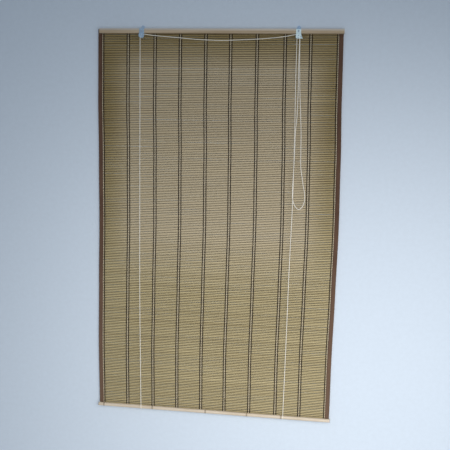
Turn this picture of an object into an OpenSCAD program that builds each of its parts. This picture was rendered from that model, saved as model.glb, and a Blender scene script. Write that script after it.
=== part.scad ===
// Rattan roll-up blind: a mat of flat reed slats twined on brown and cream warp threads.
// It hangs from a wooden headrail on two zinc-plated hangers, and one cord rolls it up.
// The left hanger carries a pulley, and the right one a cord lock with a serrated roller.
// Origin: midway between the two hanging holes, on the wall plane.
// +X is right seen from the room, -Y points into the room, and +Z is up. Sizes are in mm.

/* [Blind] */
// Width over the two edge bindings
blind_w = 1006; // [800:1:1200]
// Drop from the headrail's top to the underside of the bottom rod
blind_drop = 1618; // [1400:1:1700]
// Distance between the two hanging holes
hanger_spacing = 640; // [600:1:660]
// Gap between the wall and the back of the mat
wall_gap = 6; // [5.8:0.1:10]

/* [Slat mat] */
// Wanted pitch of the slats; the drop settles the exact one
slat_pitch = 7.16; // [6.8:0.01:8]
// Thickness of a slat
slat_t = 2.4; // [2:0.1:3]
// Height of the open gap after every second slat
slat_gap = 1.3; // [1:0.1:1.7]
// Depth of the groove between two slats
groove_depth = 0.8; // [0.4:0.1:0.9]
// Height of that groove at the slats' faces
groove_h = 1.8; // [1.7:0.1:2.4]
// Step from the headrail's top down to the mat's top edge
mat_top_step = 2; // [1:0.5:4]

/* [Warp threads and bindings] */
// Number of thread stripes across the mat
stripe_count = 10; // [6:2:12]
// Distance from the blind's side to the cream thread of the outer stripe
stripe_inset = 19; // [19:0.5:40]
// Distance between the two brown threads of a stripe
thread_pair = 10; // [8:0.5:11]
// Width of a brown thread
brown_w = 3; // [0.8:0.1:3]
// Width of the cream thread between them
cream_w = 3; // [1:0.1:5]
// Thickness of the threads and of the binding tape
trim_t = 0.7; // [0.4:0.1:1]
// Width of the binding tape on each face of the mat
binding_w = 16.5; // [12:0.5:16.5]

/* [Headrail] */
// How far the mat stands out past the headrail on each side
mat_overhang = 3; // [0:0.5:10]
// Height of the headrail
rail_h = 20.5; // [20:0.5:30]
// Thickness of the headrail
rail_t = 14; // [12:0.5:20]
// Chamfer along the headrail's long edges
rail_chamfer = 0.8; // [0.3:0.1:2]

/* [Bottom rod] */
// Diameter of the cane
rod_d = 15; // [12:0.5:18]
// How far the cane stands out past the blind on each side
rod_overhang = 0.5; // [0:0.5:10]
// Height of a growth ring over the cane
ring_rise = 0.6; // [0.2:0.1:0.8]
// Width of a growth ring along the cane
ring_w = 7; // [4:0.5:12]
// Diameter of the hollow at the cane's cut ends
cane_bore_d = 6; // [3:0.5:7]
// Gap between the cane's growth rings and the threads behind them
rod_clear = 0.3; // [0.2:0.1:1]

/* [Hangers] */
// Thickness of the steel strip
strip_t = 1.2; // [0.8:0.1:2]
// Width of the plate on the headrail's front
plate_w = 20; // [18:0.5:21]
// Width of the hanging tab
tab_w = 13; // [11:0.5:16]
// Diameter of the hanging hole
hang_hole_d = 4.5; // [3:0.1:6]
// Height of the hanging hole over the headrail's top
hole_rise = 7; // [6:0.5:12]
// Drop from the headrail's underside to the pulley axle
axle_drop = 8; // [5:0.1:9]
// Radius of the left hanger's round lower end
cheek_r = 10.8; // [10.6:0.1:13]
// How far the lock's lower right corner flares out past its plate
flare = 7; // [6.5:0.1:9]

/* [Pulleys] */
// Width of the left pulley
pulley_w = 7; // [6.8:0.1:9]
// Radius of a pulley's flanges
flange_r = 6.6; // [6:0.1:6.7]
// Radius of the bottom of a groove
groove_r = 4; // [3.4:0.1:4.1]
// Width of a groove at its bottom
groove_bottom_w = 2.4; // [2.3:0.1:2.5]
// Width of a groove at the flanges
groove_top_w = 2.7; // [2.6:0.1:2.9]
// Distance between the two grooves of the lock's pulley
groove_spacing = 3.2; // [3.1:0.1:3.6]
// Thickness of the lock pulley's rim beside its outer grooves
groove_rim = 0.55; // [0.3:0.05:1.2]
// Radius of the axle rivets
axle_r = 1.5; // [1:0.1:2]
// Radial play of a pulley or roller on its pin
running_fit = 0.06; // [0.03:0.01:0.1]
// Gap between a pulley and each cheek
side_gap = 0.3; // [0.2:0.1:0.5]

/* [Cord lock] */
// Radius over the roller's teeth
roller_r = 2.8; // [2.4:0.1:2.9]
// Depth of the roller's teeth
tooth_depth = 0.3; // [0.1:0.05:0.5]
// Number of the roller's teeth
tooth_count = 16; // [10:1:20]
// Radius of the roller's pin
pin_r = 1.3; // [1:0.1:1.4]
// Play of the pin in its slots, on each side
slot_fit = 0.15; // [0.1:0.05:0.25]
// Resting place of the pin, to the right of the pulley's axle
pin_right = 12; // [11.8:0.1:12.5]
// Resting place of the pin, below the pulley's axle
pin_below = 6; // [5.8:0.1:6.2]
// Travel of the pin towards the pulley, sideways
pin_run = 2.4; // [1.5:0.1:2.4]
// Travel of the pin upwards
pin_rise = 4.4; // [3:0.1:4.4]

/* [Fasteners] */
// Radius of the rivet heads
rivet_head_r = 2.6; // [2.3:0.1:3.2]
// Height of the rivet heads
rivet_head_h = 0.8; // [0.5:0.1:1.2]
// Radius of the spacer rivets between the cheeks
spacer_r = 1.5; // [1.2:0.1:1.6]
// Radius of the spacer rivets in the cheeks
spacer_end_r = 1; // [0.7:0.1:1.1]
// Drop from the pulley's axle to the spacer rivet
spacer_drop = 8.6; // [8.5:0.1:8.8]
// Radial play of a rivet or screw in its hole
rivet_fit = 0.05; // [0.02:0.01:0.1]
// Radius of the screw heads
screw_head_r = 4; // [3.2:0.1:5]
// Height of the screw heads
screw_head_h = 2.2; // [1.5:0.1:3]
// Radius of the screws' shanks
screw_r = 1.7; // [1.2:0.1:2.2]
// Length of the screws in the headrail
screw_l = 9; // [6:0.5:10]
// Width of a staple
staple_w = 10; // [8:0.5:14]
// Thickness of the staple wire
wire = 0.7; // [0.5:0.05:0.8]
// Length of a staple's legs in the wood
staple_bite = 5; // [3:0.5:7]

/* [Cord] */
// Diameter of the cord
cord_d = 2; // [1.6:0.1:2]
// Gap between the cord and the pulley or rod that it goes round
cord_clear = 0.4; // [0.4:0.1:0.6]
// Radius of a knot
knot_r = 2.4; // [2:0.1:2.4]
// Height of a knot
knot_h = 5; // [4:0.5:8]

/* [Hidden] */
$fn = 48;
// Overshoot of a cut past the faces that it goes through
over = 1;
// How far the ends of the mat's gaps run under the bindings
gap_cover = 4;
// Play of a staple round the cord, of a knot on its staple, and of a staple's leg in a slat
snug = 0.1;
// Lift of the sliding pin's heads off the cheeks
pin_lift = 0.1;
// How far to the right of each hanger the cord goes round the rod
left_cord_shift = 9;
right_cord_shift = -10;
// Gap between the outer thread of a stripe and the staple of the cord's end
stripe_clear = 1;
// How far the cord's sling reaches up past the middle of the rod
sling_rise = 18;
// Radius of the sling's turn behind the mat
sling_back_r = 5.8;

// Heights of the headrail and the rod
rail_top = -hole_rise;
rail_bottom = rail_top - rail_h;
rail_middle = rail_top - rail_h / 2;
rod_r = rod_d / 2;
rod_z = rail_top - blind_drop + rod_r;

// Depths, from the wall into the room
mat_back = -wall_gap;
mat_front = mat_back - slat_t;
trim_back = mat_back + trim_t;
trim_front = mat_front - trim_t;
rail_front = trim_front - rail_t;
plate_front = rail_front - strip_t;
pulley_back = plate_front - side_gap;
function pulley_middle(w) = pulley_back - w / 2;
function cheek_back(w) = pulley_back - w - side_gap;
function cheek_front(w) = cheek_back(w) - strip_t;
rod_y = trim_front - rod_clear - ring_rise - rod_r;

// Slats: the last one lies behind the middle of the rod
mat_top = rail_top - mat_top_step;
pair_count = round(((mat_top - rod_z) / slat_pitch - 0.5) / 2);
pitch = (mat_top - rod_z) / (2 * pair_count + 0.5);
slat_count = 2 * pair_count + 1;
mat_bottom = mat_top - slat_count * pitch;
groove_half = groove_h / 2;
mat_half_w = blind_w / 2 - trim_t;
gap_half_w = blind_w / 2 - binding_w + gap_cover;

// Thread stripes, each a little off its even place, and the staples halfway between them
stripe_drift = [0, 1.5, 7.5, 6, 4, -1.5, -1.5, 3.5, -2, 0];
stripe_pitch = (blind_w - 2 * stripe_inset) / (stripe_count - 1);
stripe_x = [
    for (i = [0:stripe_count - 1])
        stripe_inset - blind_w / 2 + i * stripe_pitch + stripe_drift[i % len(stripe_drift)]
];
staple_x = [for (i = [0:2:stripe_count - 2]) (stripe_x[i] + stripe_x[i + 1]) / 2];
staple_z = mat_top - 1.5 * pitch;

// Hangers, pulleys and lock; the strip bends as tightly as the headrail's edge lets it
bend_r = rail_chamfer;
left_x = -hanger_spacing / 2;
lock_x = hanger_spacing / 2;
axle_z = rail_bottom - axle_drop;
plate_bottom = axle_z - cheek_r;
pin_x = lock_x + pin_right;
pin_z = axle_z - pin_below;
slot_r = pin_r + slot_fit;
lock_pulley_w = groove_spacing + groove_top_w + 2 * groove_rim;

// Growth rings of the cane, each at its distance from the one to its left, the first from the left end
rod_half_l = blind_w / 2 + rod_overhang;
internodes = [25, 217, 234, 179, 146, 210, 190];
function ring_place(i) = i < 0 ? 0 : ring_place(i - 1) + internodes[i];
ring_x = [
    for (i = [0:len(internodes) - 1])
        let (place = ring_place(i))
        if (place < 2 * rod_half_l - 2 * ring_w) place - rod_half_l
];

// Cord: where it goes round the pulleys and the rod
cord_r = cord_d / 2;
wrap_r = groove_r + cord_r + cord_clear;
sling_r = rod_r + cord_r + 1.5 * cord_clear;
left_groove_y = pulley_middle(pulley_w);
front_groove_y = pulley_middle(lock_pulley_w) - groove_spacing / 2;
back_groove_y = pulley_middle(lock_pulley_w) + groove_spacing / 2;
anchor_leg = cord_r + snug + wire / 2;
beside_stripe = (thread_pair + brown_w + wire) / 2 + stripe_clear + anchor_leg;
function stripe_before(x) = max([for (s = stripe_x) if (s <= x) s]);
function stripe_after(x) = min([for (s = stripe_x) if (s > x) s]);
function between_stripes(x) =
    max(stripe_before(x) + beside_stripe, min(stripe_after(x) - beside_stripe, x));
left_cord_x = between_stripes(left_x + left_cord_shift);
right_cord_x = between_stripes(lock_x + right_cord_shift);
back_run_y = mat_back / 2;
sling_top = rod_z + sling_rise;
knot_z = staple_z + wire / 2 + snug;
wrap_steps = [0:30:90];

// The cord's route, in x, y, z
left_front_route = [
    [left_cord_x, rod_y - sling_r, sling_top],
    [-319, -27, -1140],
    [-322, -27.5, -710],
    [left_x - wrap_r, left_groove_y, axle_z]
];
crossing_route = concat(
    [for (a = wrap_steps) [left_x - wrap_r * cos(a), left_groove_y, axle_z + wrap_r * sin(a)]],
    [
        [-300, -28, -33], [-257, -28, -38], [-181, -28, -43], [-120, -28.5, -48], [-60, -28.5, -51],
        [20, -29, -51.5], [110, -29, -50], [170, -29, -47.5], [225, -29, -42], [270, -29.5, -36],
        [300, -29.5, -32]
    ],
    [for (a = wrap_steps) [lock_x + wrap_r * sin(a), front_groove_y, axle_z + wrap_r * cos(a)]]
);
pull_loop_route = concat(
    [[lock_x + wrap_r, front_groove_y, axle_z]],
    [
        [325, -29.5, -130], [326, -29.5, -250], [325, -29.5, -350], [321, -29.5, -410],
        [320, -29, -490], [319, -29, -570], [318, -29, -650], [319, -29, -685], [324, -28.5, -706],
        [334, -28, -724], [346, -28, -731], [357, -28, -722], [366, -28, -702], [369, -27.5, -680],
        [367, -27.5, -660], [361, -27.5, -630], [353, -27.5, -588], [347, -27.5, -555], [345, -27, -500],
        [343, -27, -415], [338, -27, -330], [333, -27, -250], [328, -27, -130]
    ],
    [for (a = [0:30:180]) [lock_x + wrap_r * cos(a), back_groove_y, axle_z + wrap_r * sin(a)]]
);
right_front_route = [
    [lock_x - wrap_r, back_groove_y, axle_z],
    [317, -27, -230],
    [318, -26.5, -700],
    [313, -26.5, -980],
    [310, -26.5, -1280],
    [right_cord_x, rod_y - sling_r, sling_top]
];
function sling_route(x) = concat(
    [[x, rod_y - sling_r, sling_top]],
    [for (a = wrap_steps) [x, rod_y - sling_r * cos(a), rod_z - sling_r * sin(a)]],
    [for (a = wrap_steps) [x, back_run_y - sling_back_r * (1 - sin(a)),
                           rod_z - sling_r + sling_back_r * (1 - cos(a))]],
    [[x, back_run_y, sling_top]]
);
function back_route(x) = [[x, back_run_y, sling_top], [x, back_run_y, knot_z]];

// Colours
wood_colour = [0.66, 0.57, 0.44];
reed_colour = [0.68, 0.62, 0.48];
brown_colour = [0.27, 0.18, 0.12];
cream_colour = [0.74, 0.69, 0.58];
tape_colour = [0.33, 0.21, 0.16];
cane_colour = [0.80, 0.74, 0.62];
zinc_colour = [0.58, 0.66, 0.72];
cord_colour = [0.88, 0.86, 0.80];

// An x-z outline made into a slab between two depths
module slab(y_front, y_back) {
    translate([0, y_back, 0])
        rotate([90, 0, 0])
            linear_extrude(y_back - y_front)
                children();
}

// A round bar along Y, from one depth to another
module bar_y(x, z, r, y_front, y_back) {
    translate([x, y_front, z])
        rotate([-90, 0, 0])
            cylinder(r = r, h = y_back - y_front);
}

// A turned piece on an axis along Y; its points are [radius, depth]
module turned_y(x, z, points) {
    translate([x, 0, z])
        rotate([-90, 0, 0])
            rotate_extrude()
                polygon(points);
}

// A flat-wire staple: its crown lies behind y_crown, and its legs reach to y_tip
module staple(x, z, half_w, y_crown, y_tip) {
    translate([x - half_w - wire / 2, y_crown, z - wire / 2])
        cube([2 * half_w + wire, wire, wire]);
    for (side = [-1, 1])
        translate([x + side * half_w - wire / 2, y_tip, z - wire / 2])
            cube([wire, y_crown - y_tip + wire / 2, wire]);
}

// A rivet through both cheeks of a pulley of width w; mid_r is its radius between them
module rivet(x, z, w, end_r, mid_r, lift) {
    front = cheek_front(w) - lift;
    turned_y(x, z, [
        [0, front - rivet_head_h],
        [rivet_head_r, front - rivet_head_h],
        [rivet_head_r, front],
        [end_r, front],
        [end_r, cheek_back(w)],
        [mid_r, cheek_back(w)],
        [mid_r, plate_front],
        [end_r, plate_front],
        [end_r, rail_front + lift],
        [rivet_head_r, rail_front + lift],
        [rivet_head_r, rail_front + lift + rivet_head_h],
        [0, rail_front + lift + rivet_head_h]
    ]);
}

// A pulley of width w with a groove at each given offset from its middle
module pulley(x, w, offsets) {
    bore_r = axle_r + running_fit;
    turned_y(x, axle_z, concat(
        [[bore_r, pulley_back - w], [flange_r, pulley_back - w]],
        [for (o = offsets, p = [
            [flange_r, -groove_top_w / 2],
            [groove_r, -groove_bottom_w / 2],
            [groove_r, groove_bottom_w / 2],
            [flange_r, groove_top_w / 2]
        ]) [p[0], pulley_middle(w) + o + p[1]]],
        [[flange_r, pulley_back], [bore_r, pulley_back]]
    ));
}

// Directions along a route: the end ones are given, and the others halve the turn
function unit(v) = v / norm(v);
function heading(route, i, first, last) =
    i == 0 ? first :
    i == len(route) - 1 ? last :
    unit(unit(route[i] - route[i - 1]) + unit(route[i + 1] - route[i]));

// A round cord along a route; across is a direction that the route never follows
module cord_tube(route, across, first, last) {
    sides = 8;
    n = len(route);
    points = [
        for (i = [0:n - 1])
            let (t = heading(route, i, first, last))
            let (u = unit(across - (across * t) * t))
            let (v = cross(t, u))
            for (s = [0:sides - 1])
                route[i] + cord_r * (cos(360 * s / sides) * u + sin(360 * s / sides) * v)
    ];
    walls = [
        for (i = [0:n - 2], s = [0:sides - 1])
            let (next = (s + 1) % sides)
            [i * sides + s, (i + 1) * sides + s, (i + 1) * sides + next, i * sides + next]
    ];
    start_cap = [for (s = [0:sides - 1]) s];
    end_cap = [for (s = [sides - 1:-1:0]) (n - 1) * sides + s];
    color(cord_colour)
        polyhedron(points, concat([start_cap], walls, [end_cap]));
}

// Wooden batten across the top, with a pilot hole for each hanger screw
module headrail() {
    c = rail_chamfer;
    half_l = blind_w / 2 - mat_overhang;
    pilot_end = rail_front + screw_l + rivet_fit;
    color(wood_colour)
    difference() {
        translate([-half_l, 0, 0])
            rotate([90, 0, 90])
                linear_extrude(2 * half_l)
                    polygon([
                        [trim_front, rail_bottom + c], [trim_front, rail_top - c],
                        [trim_front - c, rail_top], [rail_front + c, rail_top],
                        [rail_front, rail_top - c], [rail_front, rail_bottom + c],
                        [rail_front + c, rail_bottom], [trim_front - c, rail_bottom]
                    ]);
        for (x = [left_x, lock_x])
            bar_y(x, rail_middle, screw_r + rivet_fit, rail_front - over, pilot_end);
    }
}

// Staples that hold the mat to the headrail, driven from the back
module headrail_staples() {
    color(zinc_colour)
        for (x = staple_x)
            staple(x, staple_z, (staple_w - wire) / 2, mat_back, trim_front - staple_bite);
}

// The slats as ridges of one wall, with an open gap after every second one
module slat_mat() {
    front = [
        for (i = [0:slat_count - 1])
            let (top = mat_top - i * pitch, low = top - pitch)
            for (p = [
                [mat_front, i == 0 ? top : top - groove_half],
                [mat_front, i == slat_count - 1 ? low : low + groove_half],
                if (i < slat_count - 1) [mat_front + groove_depth, low]
            ]) p
    ];
    back = [
        for (i = [slat_count - 1:-1:0])
            let (top = mat_top - i * pitch, low = top - pitch)
            for (p = [
                [mat_back, i == slat_count - 1 ? low : low + groove_half],
                [mat_back, i == 0 ? top : top - groove_half],
                if (i > 0) [mat_back - groove_depth, top]
            ]) p
    ];
    color(reed_colour)
    difference() {
        translate([-mat_half_w, 0, 0])
            rotate([90, 0, 90])
                linear_extrude(2 * mat_half_w)
                    polygon(concat(front, back));
        for (k = [2:pair_count - 1])
            translate([-gap_half_w, mat_front - over, mat_top - 2 * k * pitch - slat_gap / 2])
                cube([2 * gap_half_w, slat_t + 2 * over, slat_gap]);
        for (x = staple_x, side = [-1, 1])
            translate([x + side * (staple_w - wire) / 2, 0, rod_z])
                slab(mat_front - over, mat_back + over)
                    square(wire + 2 * snug, center = true);
    }
}

// Threads of one kind: upright strips on both faces of the mat
module warp_threads(places, w) {
    for (x = places, y = [trim_front, mat_back])
        translate([x - w / 2, y, mat_bottom])
            cube([w, trim_t, mat_top - mat_bottom]);
}

// Two to a stripe, and one to an outer stripe, whose other thread is within the binding
module brown_warp_threads() {
    last = stripe_count - 1;
    places = [
        for (i = [0:last], side = [(i == 0 ? 1 : -1):2:(i == last ? -1 : 1)])
            stripe_x[i] + side * thread_pair / 2
    ];
    color(brown_colour)
        warp_threads(places, brown_w);
}

module cream_warp_threads() {
    color(cream_colour)
        warp_threads(stripe_x, cream_w);
}

// Cloth tape folded over one edge of the mat; side is -1 for left and 1 for right
module binding(side) {
    edge = blind_w / 2;
    inner = edge - binding_w;
    color(tape_colour)
        translate([0, 0, mat_bottom])
            linear_extrude(mat_top - mat_bottom)
                polygon([
                    [side * edge, trim_front], [side * inner, trim_front],
                    [side * inner, mat_front], [side * mat_half_w, mat_front],
                    [side * mat_half_w, mat_back], [side * inner, mat_back],
                    [side * inner, trim_back], [side * edge, trim_back]
                ]);
}

module left_binding() {
    binding(-1);
}

module right_binding() {
    binding(1);
}

// Bamboo cane with growth rings, hollow at its cut ends as far as the next ring
module bottom_rod() {
    left_bore = rod_half_l + ring_x[0] - ring_w;
    right_bore = rod_half_l - ring_x[len(ring_x) - 1] - ring_w;
    color(cane_colour)
        translate([0, rod_y, rod_z])
            rotate([0, 90, 0])
                difference() {
                    rotate_extrude()
                        polygon(concat(
                            [[0, -rod_half_l], [rod_r, -rod_half_l]],
                            [for (x = ring_x, p = [[0, -ring_w / 2], [ring_rise, -ring_w / 8],
                                                   [ring_rise, ring_w / 8], [0, ring_w / 2]])
                                [rod_r + p[0], x + p[1]]],
                            [[rod_r, rod_half_l], [0, rod_half_l]]
                        ));
                    translate([0, 0, -rod_half_l - over])
                        cylinder(d = cane_bore_d, h = left_bore + over);
                    translate([0, 0, rod_half_l - right_bore])
                        cylinder(d = cane_bore_d, h = right_bore + over);
                }
}

// Staples that hold the mat's last slat to the cane, driven from the back
module rod_staples() {
    tip = rod_y + rod_r - staple_bite;
    color(zinc_colour)
        for (x = staple_x)
            staple(x, rod_z, (staple_w - wire) / 2, mat_back + rod_clear, tip);
}

// Round-headed screws with a cross recess
module hanger_screws() {
    color(zinc_colour)
    for (x = [left_x, lock_x])
        difference() {
            turned_y(x, rail_middle, [
                [0, plate_front - screw_head_h],
                [screw_head_r * 0.55, plate_front - screw_head_h * 0.92],
                [screw_head_r * 0.88, plate_front - screw_head_h * 0.6],
                [screw_head_r, plate_front],
                [screw_r, plate_front],
                [screw_r, rail_front + screw_l * 0.7],
                [0, rail_front + screw_l]
            ]);
            for (turn = [0, 90])
                translate([x, plate_front - screw_head_h, rail_middle])
                    rotate([0, 45 + turn, 0])
                        cube([screw_head_r, screw_head_h, 0.8], center = true);
        }
}

// A quarter bend of the strip about an axis along X; the signs choose the quarter
module strip_bend(x, y, z, y_sign, z_sign) {
    outer_r = bend_r + strip_t;
    translate([x - tab_w / 2, y, z])
        rotate([90, 0, 90])
            linear_extrude(tab_w)
                intersection() {
                    difference() {
                        circle(r = outer_r);
                        circle(r = bend_r);
                    }
                    translate([min(0, y_sign) * outer_r, min(0, z_sign) * outer_r])
                        square(outer_r);
                }
}

// The hanging tab at the wall, the leg over the headrail, and the bends between
module hanging_leg(x) {
    wall_bend_y = -strip_t - bend_r;
    wall_bend_z = rail_top + strip_t + bend_r;
    front_bend_y = rail_front + bend_r;
    slab(-strip_t, 0)
        translate([x, 0])
            difference() {
                union() {
                    circle(d = tab_w);
                    translate([-tab_w / 2, wall_bend_z])
                        square([tab_w, -wall_bend_z]);
                }
                circle(d = hang_hole_d);
                translate([-tab_w, wall_bend_z - tab_w])
                    square([2 * tab_w, tab_w]);
            }
    strip_bend(x, wall_bend_y, wall_bend_z, 1, -1);
    translate([x - tab_w / 2, front_bend_y, rail_top])
        cube([tab_w, wall_bend_y - front_bend_y, strip_t]);
    strip_bend(x, front_bend_y, rail_top - bend_r, -1, 1);
}

// Holes of one cheek for the axle and the spacer
module cheek_holes(x) {
    translate([x, axle_z])
        circle(r = axle_r + rivet_fit);
    translate([x, axle_z - spacer_drop])
        circle(r = spacer_end_r + rivet_fit);
}

// Outline of the left hanger's lower end, up to a height
module left_outline(top) {
    translate([left_x, axle_z])
        circle(r = cheek_r);
    translate([left_x - plate_w / 2, axle_z])
        square([plate_w, top - axle_z]);
}

module left_hanger() {
    color(zinc_colour) {
        hanging_leg(left_x);
        slab(plate_front, rail_front)
            difference() {
                left_outline(rail_top - bend_r);
                cheek_holes(left_x);
                translate([left_x, rail_middle])
                    circle(r = screw_r + rivet_fit);
            }
    }
}

module left_front_cheek() {
    color(zinc_colour)
        slab(cheek_front(pulley_w), cheek_back(pulley_w))
            difference() {
                left_outline(rail_bottom - strip_t);
                cheek_holes(left_x);
            }
}

module left_axle() {
    color(zinc_colour)
        rivet(left_x, axle_z, pulley_w, axle_r, axle_r, 0);
}

module left_spacer() {
    color(zinc_colour)
        rivet(left_x, axle_z - spacer_drop, pulley_w, spacer_end_r, spacer_r, 0);
}

module left_pulley() {
    color(cream_colour)
        pulley(left_x, pulley_w, [0]);
}

// Outline of the lock's plates, flared at the lower right, up to a height
module lock_outline(top) {
    half = plate_w / 2;
    corner = 3;
    translate([lock_x, 0])
        polygon([
            [-half, top], [half, top], [half, rail_bottom - strip_t],
            [half + flare, plate_bottom], [corner - half, plate_bottom], [-half, plate_bottom + corner]
        ]);
}

// Slanted slot for the roller's pin
module pin_slot() {
    run_angle = atan2(pin_rise, -pin_run);
    run_length = norm([pin_run, pin_rise]);
    translate([pin_x, pin_z])
        rotate(run_angle) {
            circle(r = slot_r);
            translate([run_length, 0])
                circle(r = slot_r);
            translate([0, -slot_r])
                square([run_length, 2 * slot_r]);
        }
}

module lock_hanger() {
    color(zinc_colour) {
        hanging_leg(lock_x);
        slab(plate_front, rail_front)
            difference() {
                lock_outline(rail_top - bend_r);
                cheek_holes(lock_x);
                pin_slot();
                translate([lock_x, rail_middle])
                    circle(r = screw_r + rivet_fit);
            }
    }
}

module lock_front_cheek() {
    color(zinc_colour)
        slab(cheek_front(lock_pulley_w), cheek_back(lock_pulley_w))
            difference() {
                lock_outline(rail_bottom - strip_t / 2);
                cheek_holes(lock_x);
                pin_slot();
            }
}

module lock_axle() {
    color(zinc_colour)
        rivet(lock_x, axle_z, lock_pulley_w, axle_r, axle_r, 0);
}

module lock_spacer() {
    color(zinc_colour)
        rivet(lock_x, axle_z - spacer_drop, lock_pulley_w, spacer_end_r, spacer_r, 0);
}

module lock_pulley() {
    color(cream_colour)
        pulley(lock_x, lock_pulley_w, [-groove_spacing / 2, groove_spacing / 2]);
}

// Headed pin that slides in the slots of both cheeks
module lock_pin() {
    color(zinc_colour)
        rivet(pin_x, pin_z, lock_pulley_w, pin_r, pin_r, pin_lift);
}

// Serrated roller on that pin
module lock_roller() {
    color(zinc_colour)
        slab(pulley_back - lock_pulley_w, pulley_back)
            translate([pin_x, pin_z])
                difference() {
                    polygon([
                        for (i = [0:2 * tooth_count - 1])
                            let (a = 180 * i / tooth_count, r = roller_r - (i % 2) * tooth_depth)
                            [r * cos(a), r * sin(a)]
                    ]);
                    circle(r = pin_r + running_fit);
                }
}

// The cord, in the order that it runs
module left_back_run() {
    cord_tube(back_route(left_cord_x), [1, 0, 0], [0, 0, 1], [0, 0, 1]);
}

module left_sling() {
    cord_tube(sling_route(left_cord_x), [1, 0, 0], [0, 0, -1], [0, 0, 1]);
}

module left_front_run() {
    cord_tube(left_front_route, [0, 1, 0], [0, 0, 1], [0, 0, 1]);
}

module crossing_cord() {
    cord_tube(crossing_route, [0, 1, 0], [0, 0, 1], [0, 0, -1]);
}

module pull_loop() {
    cord_tube(pull_loop_route, [0, 1, 0], [0, 0, -1], [0, 0, -1]);
}

module right_front_run() {
    cord_tube(right_front_route, [0, 1, 0], [0, 0, -1], [0, 0, -1]);
}

module right_sling() {
    cord_tube(sling_route(right_cord_x), [1, 0, 0], [0, 0, -1], [0, 0, 1]);
}

module right_back_run() {
    cord_tube(back_route(right_cord_x), [1, 0, 0], [0, 0, 1], [0, 0, 1]);
}

// Knots on the cord's two ends, above the staples that they pull against
module cord_end_knots() {
    color(cord_colour)
    for (x = [left_cord_x, right_cord_x])
        translate([x, back_run_y, knot_z])
            rotate_extrude()
                polygon([
                    [0, 0], [knot_r * 0.55, 0], [knot_r * 0.95, knot_h * 0.25], [knot_r, knot_h * 0.5],
                    [knot_r * 0.95, knot_h * 0.75], [knot_r * 0.55, knot_h], [0, knot_h]
                ]);
}

// Staples over the cord's ends, driven into the headrail
module cord_anchor_staples() {
    color(zinc_colour)
        for (x = [left_cord_x, right_cord_x])
            staple(x, staple_z, anchor_leg, back_run_y + cord_r + snug, trim_front - staple_bite);
}

headrail();
headrail_staples();
slat_mat();
brown_warp_threads();
cream_warp_threads();
left_binding();
right_binding();
bottom_rod();
rod_staples();
hanger_screws();
left_hanger();
left_front_cheek();
left_axle();
left_spacer();
left_pulley();
lock_hanger();
lock_front_cheek();
lock_axle();
lock_spacer();
lock_pulley();
lock_pin();
lock_roller();
left_front_run();
left_sling();
left_back_run();
crossing_cord();
pull_loop();
right_front_run();
right_sling();
right_back_run();
cord_end_knots();
cord_anchor_staples();
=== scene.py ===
"""Looks of a rattan roll-up blind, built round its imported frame.

X runs along the headrail, -Y points into the room and Z is up. Lengths are in metres, and a
value whose unit is the millimetre is written as a number times MM.
"""

import logging
import math
import random
from abc import ABC, abstractmethod
from dataclasses import dataclass, field
from enum import Enum
from functools import cache
from typing import Sequence, Union

import bpy
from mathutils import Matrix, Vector


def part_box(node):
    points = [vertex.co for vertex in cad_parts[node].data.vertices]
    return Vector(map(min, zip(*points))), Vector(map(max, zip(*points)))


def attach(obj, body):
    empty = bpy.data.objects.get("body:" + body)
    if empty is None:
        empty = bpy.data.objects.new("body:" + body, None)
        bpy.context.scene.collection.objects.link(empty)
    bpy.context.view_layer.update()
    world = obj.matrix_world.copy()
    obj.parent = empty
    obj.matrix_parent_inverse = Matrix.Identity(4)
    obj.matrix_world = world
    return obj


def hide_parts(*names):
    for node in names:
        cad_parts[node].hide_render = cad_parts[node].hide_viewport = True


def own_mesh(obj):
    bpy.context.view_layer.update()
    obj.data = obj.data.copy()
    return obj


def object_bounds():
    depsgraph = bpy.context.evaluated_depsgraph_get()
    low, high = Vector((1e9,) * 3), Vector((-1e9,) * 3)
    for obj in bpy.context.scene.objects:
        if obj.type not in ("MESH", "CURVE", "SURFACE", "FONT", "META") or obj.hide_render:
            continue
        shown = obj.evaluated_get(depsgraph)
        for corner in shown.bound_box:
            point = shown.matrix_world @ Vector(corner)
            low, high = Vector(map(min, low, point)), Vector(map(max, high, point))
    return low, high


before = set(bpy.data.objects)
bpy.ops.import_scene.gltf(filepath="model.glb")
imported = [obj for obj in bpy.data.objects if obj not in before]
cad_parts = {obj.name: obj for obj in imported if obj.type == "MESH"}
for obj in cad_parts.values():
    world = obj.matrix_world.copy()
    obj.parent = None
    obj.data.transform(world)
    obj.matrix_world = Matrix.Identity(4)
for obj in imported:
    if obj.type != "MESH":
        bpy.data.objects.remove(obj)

CAD_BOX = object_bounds()
LOG = logging.getLogger("blind")
MM = 0.001
LAY = "lay"
SLAT_COUNT = 225

Colour = tuple[float, float, float, float]
Triple = tuple[float, float, float]
Pair = tuple[float, float]
Socket = bpy.types.NodeSocket
Piece = bpy.types.Object
Material = bpy.types.Material
Feed = Union[Socket, float, Sequence[float]]


class Slot(Enum):
    """The record's material slots."""

    BATTEN_WOOD = "batten_wood"
    REED = "reed"
    CANE = "cane"
    BROWN_THREAD = "brown_thread"
    CREAM_THREAD = "cream_thread"
    BINDING_TAPE = "binding_tape"
    ZINC_PLATE = "zinc_plate"
    BRIGHT_ZINC = "bright_zinc"
    RIVET_STEEL = "rivet_steel"
    ROLLER_STEEL = "roller_steel"
    SCREW_STEEL = "screw_steel"
    STAPLE_WIRE = "staple_wire"
    PULLEY_NYLON = "pulley_nylon"
    CORD = "cord"


class Body(Enum):
    """The frame's bodies that new pieces ride on."""

    BLIND = "blind"
    SLINGS = "lift_slings"
    ROD = "roll_rod"


class Face(Enum):
    """The two faces of the mat, with the way that each one looks along Y."""

    FRONT = -1
    BACK = 1


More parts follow.
